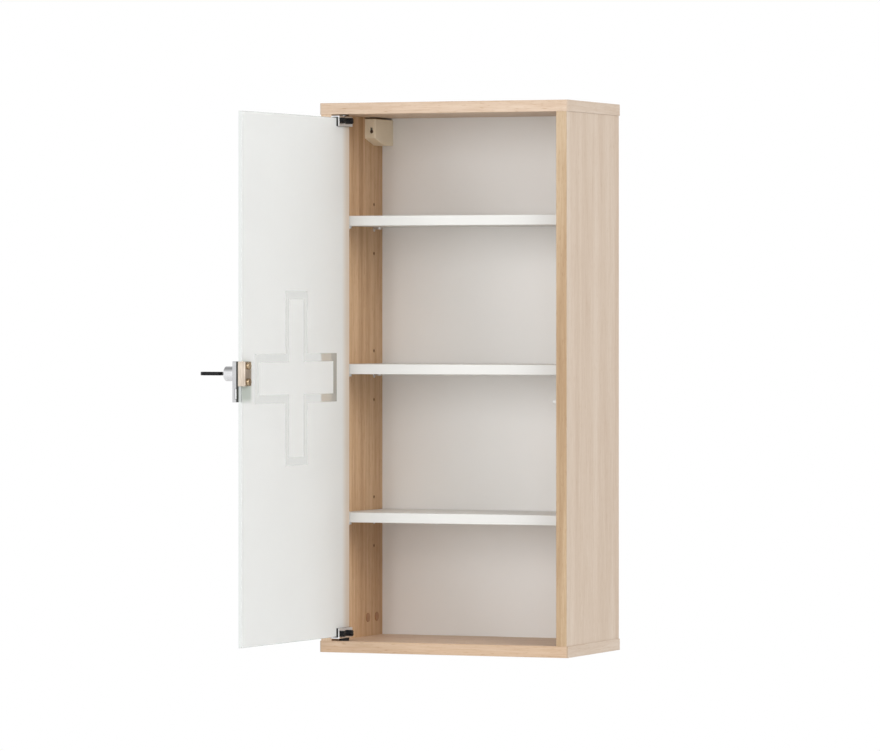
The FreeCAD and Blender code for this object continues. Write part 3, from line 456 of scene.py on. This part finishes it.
def clearedFinish():
    finish, tree, shader = newFinish("clearedLine")
    haze = cloud(tree, objectSpace(tree), clearedLine["hazeScale"])
    colour = shades(tree, haze, clearedLine["dull"], clearedLine["haze"])
    tree.links.new(colour, shader.inputs["Base Color"])
    tree.links.new(spread(tree, haze, *clearedLine["alpha"]), shader.inputs["Alpha"])
    shader.inputs["Roughness"].default_value = clearedLine["rough"]
    return finish


# frosted sheet over the inner face, in metres, with the door shut before it is hung open
frostSheet = {
    "left": -0.1762, "right": 0.1752, "low": 0.0248, "high": 0.7972,
    "face": -0.0930, "gap": 0.00006, "thick": 0.00022,
    "crossAcross": 0.268, "crossUp": 0.256, "crossArm": 0.072, "crossLine": 0.012,
    "centre": (-0.0005, 0.411), "pivot": (-0.165, -0.0955), "openAngle": 93.0,
}


def crossOutline(inset):
    across = frostSheet["crossAcross"] / 2 - inset
    up = frostSheet["crossUp"] / 2 - inset
    arm = frostSheet["crossArm"] / 2 - inset
    corners = [(arm, arm), (arm, up), (-arm, up), (-arm, arm), (-across, arm), (-across, -arm),
               (-arm, -arm), (-arm, -up), (arm, -up), (arm, -arm), (across, -arm), (across, arm)]
    middleX, middleZ = frostSheet["centre"]
    return [(middleX + x, middleZ + z) for x, z in corners]


def doorTurn():
    pivot = Matrix.Translation((*frostSheet["pivot"], 0))
    swing = Matrix.Rotation(-math.radians(frostSheet["openAngle"]), 4, "Z")
    return pivot @ swing @ pivot.inverted()


def skinMesh(name, loops, thick):
    outline = bpy.data.curves.new(name, "CURVE")
    outline.dimensions = "2D"
    outline.fill_mode = "BOTH"
    outline.extrude = thick / 2
    for loop in loops:
        line = outline.splines.new("POLY")
        line.points.add(len(loop) - 1)
        for point, (x, z) in zip(line.points, loop):
            point.co = (x, z, 0, 1)
        line.use_cyclic_u = True
    drawn = bpy.data.objects.new(name, outline)
    bpy.context.scene.collection.objects.link(drawn)
    bpy.context.view_layer.update()
    shaped = drawn.evaluated_get(bpy.context.evaluated_depsgraph_get())
    mesh = bpy.data.meshes.new_from_object(shaped)
    bpy.data.objects.remove(drawn)
    depth = frostSheet["face"] + frostSheet["gap"] + thick / 2
    forward = Matrix.Translation((0, depth, 0))
    upright = Matrix.Rotation(math.pi / 2, 4, "X")
    mesh.transform(doorTurn() @ forward @ upright)
    return mesh


def hangSkin(name, loops, thick, finish):
    mesh = skinMesh(name, loops, thick)
    mesh.materials.clear()
    mesh.materials.append(finish)
    skin = bpy.data.objects.new(name, mesh)
    bpy.context.scene.collection.objects.link(skin)
    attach(skin, "door")
    return skin


sheetEdges = [(frostSheet["left"], frostSheet["low"]), (frostSheet["right"], frostSheet["low"]),
              (frostSheet["right"], frostSheet["high"]), (frostSheet["left"], frostSheet["high"])]
crossOuter = crossOutline(0)
crossInner = crossOutline(frostSheet["crossLine"])
frosted = hangSkin("frostSheet", [sheetEdges, crossOuter, crossInner],
                   frostSheet["thick"], frostFinish())
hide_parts("door_frosting")
hangSkin("clearedCrossLine", [crossOuter, crossInner], 0, clearedFinish())
print("door glazed and frosted")

# floor, light and camera
studio = {
    "floorDrop": -0.45, "floorRadius": 2.6, "floorFade": 1.5, "floorSides": 96,
    "floorColour": (0.86, 0.86, 0.86), "speckShade": 0.985,
    "speckScale": 220, "floorRough": 0.8, "skyLevel": 0.76,
    "ceilingFrom": 0.38, "ceilingTo": 0.88, "ceilingLevel": 0.36,
}
lamps = {
    "sideLamp": {"place": (4.2, -2.2, 2.2), "aim": (0, 0, 0.45), "size": 2.4, "power": 116},
    "frontLamp": {"place": (-1.0, -4.5, 1.3), "aim": (0, 0, 0.45), "size": 2.0, "power": 52},
}
viewpoint = {"place": (3.134, -7.820, 0.511), "turn": 22.15, "focal": 229.9, "sensor": 36.0,
             "shiftY": -0.0744, "farthest": 100}


def makeFloor():
    sides, radius = studio["floorSides"], studio["floorRadius"]
    turns = [2 * math.pi * i / sides for i in range(sides)]
    ring = [(radius * math.cos(a), radius * math.sin(a), studio["floorDrop"]) for a in turns]
    mesh = bpy.data.meshes.new("studioFloor")
    mesh.from_pydata(ring, [], [list(range(sides))])
    finish, tree, shader = newFinish("paleFloor")
    speck = cloud(tree, objectSpace(tree), studio["speckScale"], 2)
    shade = tuple(studio["speckShade"] * channel for channel in studio["floorColour"])
    colour = shades(tree, speck, shade, studio["floorColour"])
    tree.links.new(colour, shader.inputs["Base Color"])
    shader.inputs["Roughness"].default_value = studio["floorRough"]
    length = tree.nodes.new("ShaderNodeVectorMath")
    length.operation = "LENGTH"
    tree.links.new(objectSpace(tree), length.inputs[0])
    fade = spread(tree, length.outputs["Value"], 1.0, 0.0, studio["floorFade"], radius)
    tree.links.new(fade, shader.inputs["Alpha"])
    mesh.materials.append(finish)
    floor = bpy.data.objects.new("studioFloor", mesh)
    bpy.context.scene.collection.objects.link(floor)


def makeSky():
    sky = bpy.data.worlds.new("studioSky")
    sky.use_nodes = True
    tree = sky.node_tree
    tree.nodes.clear()
    # what the camera and shiny pieces see: white round the horizon, darker overhead
    seen = tree.nodes.new("ShaderNodeBackground")
    seen.inputs["Color"].default_value = (*white, 1)
    coords = tree.nodes.new("ShaderNodeTexCoord")
    split = tree.nodes.new("ShaderNodeSeparateXYZ")
    tree.links.new(coords.outputs["Generated"], split.inputs["Vector"])
    level = spread(tree, split.outputs["Z"], 1.0, studio["ceilingLevel"],
                   studio["ceilingFrom"], studio["ceilingTo"])
    tree.links.new(level, seen.inputs["Strength"])
    # what lights the cabinet
    shed = tree.nodes.new("ShaderNodeBackground")
    shed.inputs["Color"].default_value = (*white, 1)
    shed.inputs["Strength"].default_value = studio["skyLevel"]
    path = tree.nodes.new("ShaderNodeLightPath")
    largest = path.outputs["Is Camera Ray"]
    for kind in ("Is Glossy Ray", "Is Transmission Ray"):
        largest = reckon(tree, "MAXIMUM", largest, path.outputs[kind])
    mix = tree.nodes.new("ShaderNodeMixShader")
    tree.links.new(largest, mix.inputs["Fac"])
    tree.links.new(shed.outputs["Background"], mix.inputs[1])
    tree.links.new(seen.outputs["Background"], mix.inputs[2])
    out = tree.nodes.new("ShaderNodeOutputWorld")
    tree.links.new(mix.outputs["Shader"], out.inputs["Surface"])
    bpy.context.scene.world = sky


def makeLamp(name, facts):
    lamp = bpy.data.lights.new(name, "AREA")
    lamp.shape = "SQUARE"
    lamp.size = facts["size"]
    lamp.energy = facts["power"]
    holder = bpy.data.objects.new(name, lamp)
    holder.location = facts["place"]
    toward = Vector(facts["aim"]) - Vector(facts["place"])
    holder.rotation_euler = toward.to_track_quat("-Z", "Y").to_euler()
    bpy.context.scene.collection.objects.link(holder)


def makeCamera():
    lens = bpy.data.cameras.new("photoCamera")
    lens.lens = viewpoint["focal"]
    lens.sensor_width = viewpoint["sensor"]
    lens.sensor_fit = "HORIZONTAL"
    lens.shift_y = viewpoint["shiftY"]
    lens.clip_end = viewpoint["farthest"]
    holder = bpy.data.objects.new("photoCamera", lens)
    holder.location = viewpoint["place"]
    holder.rotation_euler = (math.pi / 2, 0, math.radians(viewpoint["turn"]))
    bpy.context.scene.collection.objects.link(holder)
    bpy.context.scene.camera = holder


makeFloor()
makeSky()
for lampName, lampFacts in lamps.items():
    makeLamp(lampName, lampFacts)
makeCamera()
bpy.context.scene.view_settings.view_transform = "Standard"
print("floor, light and camera set")
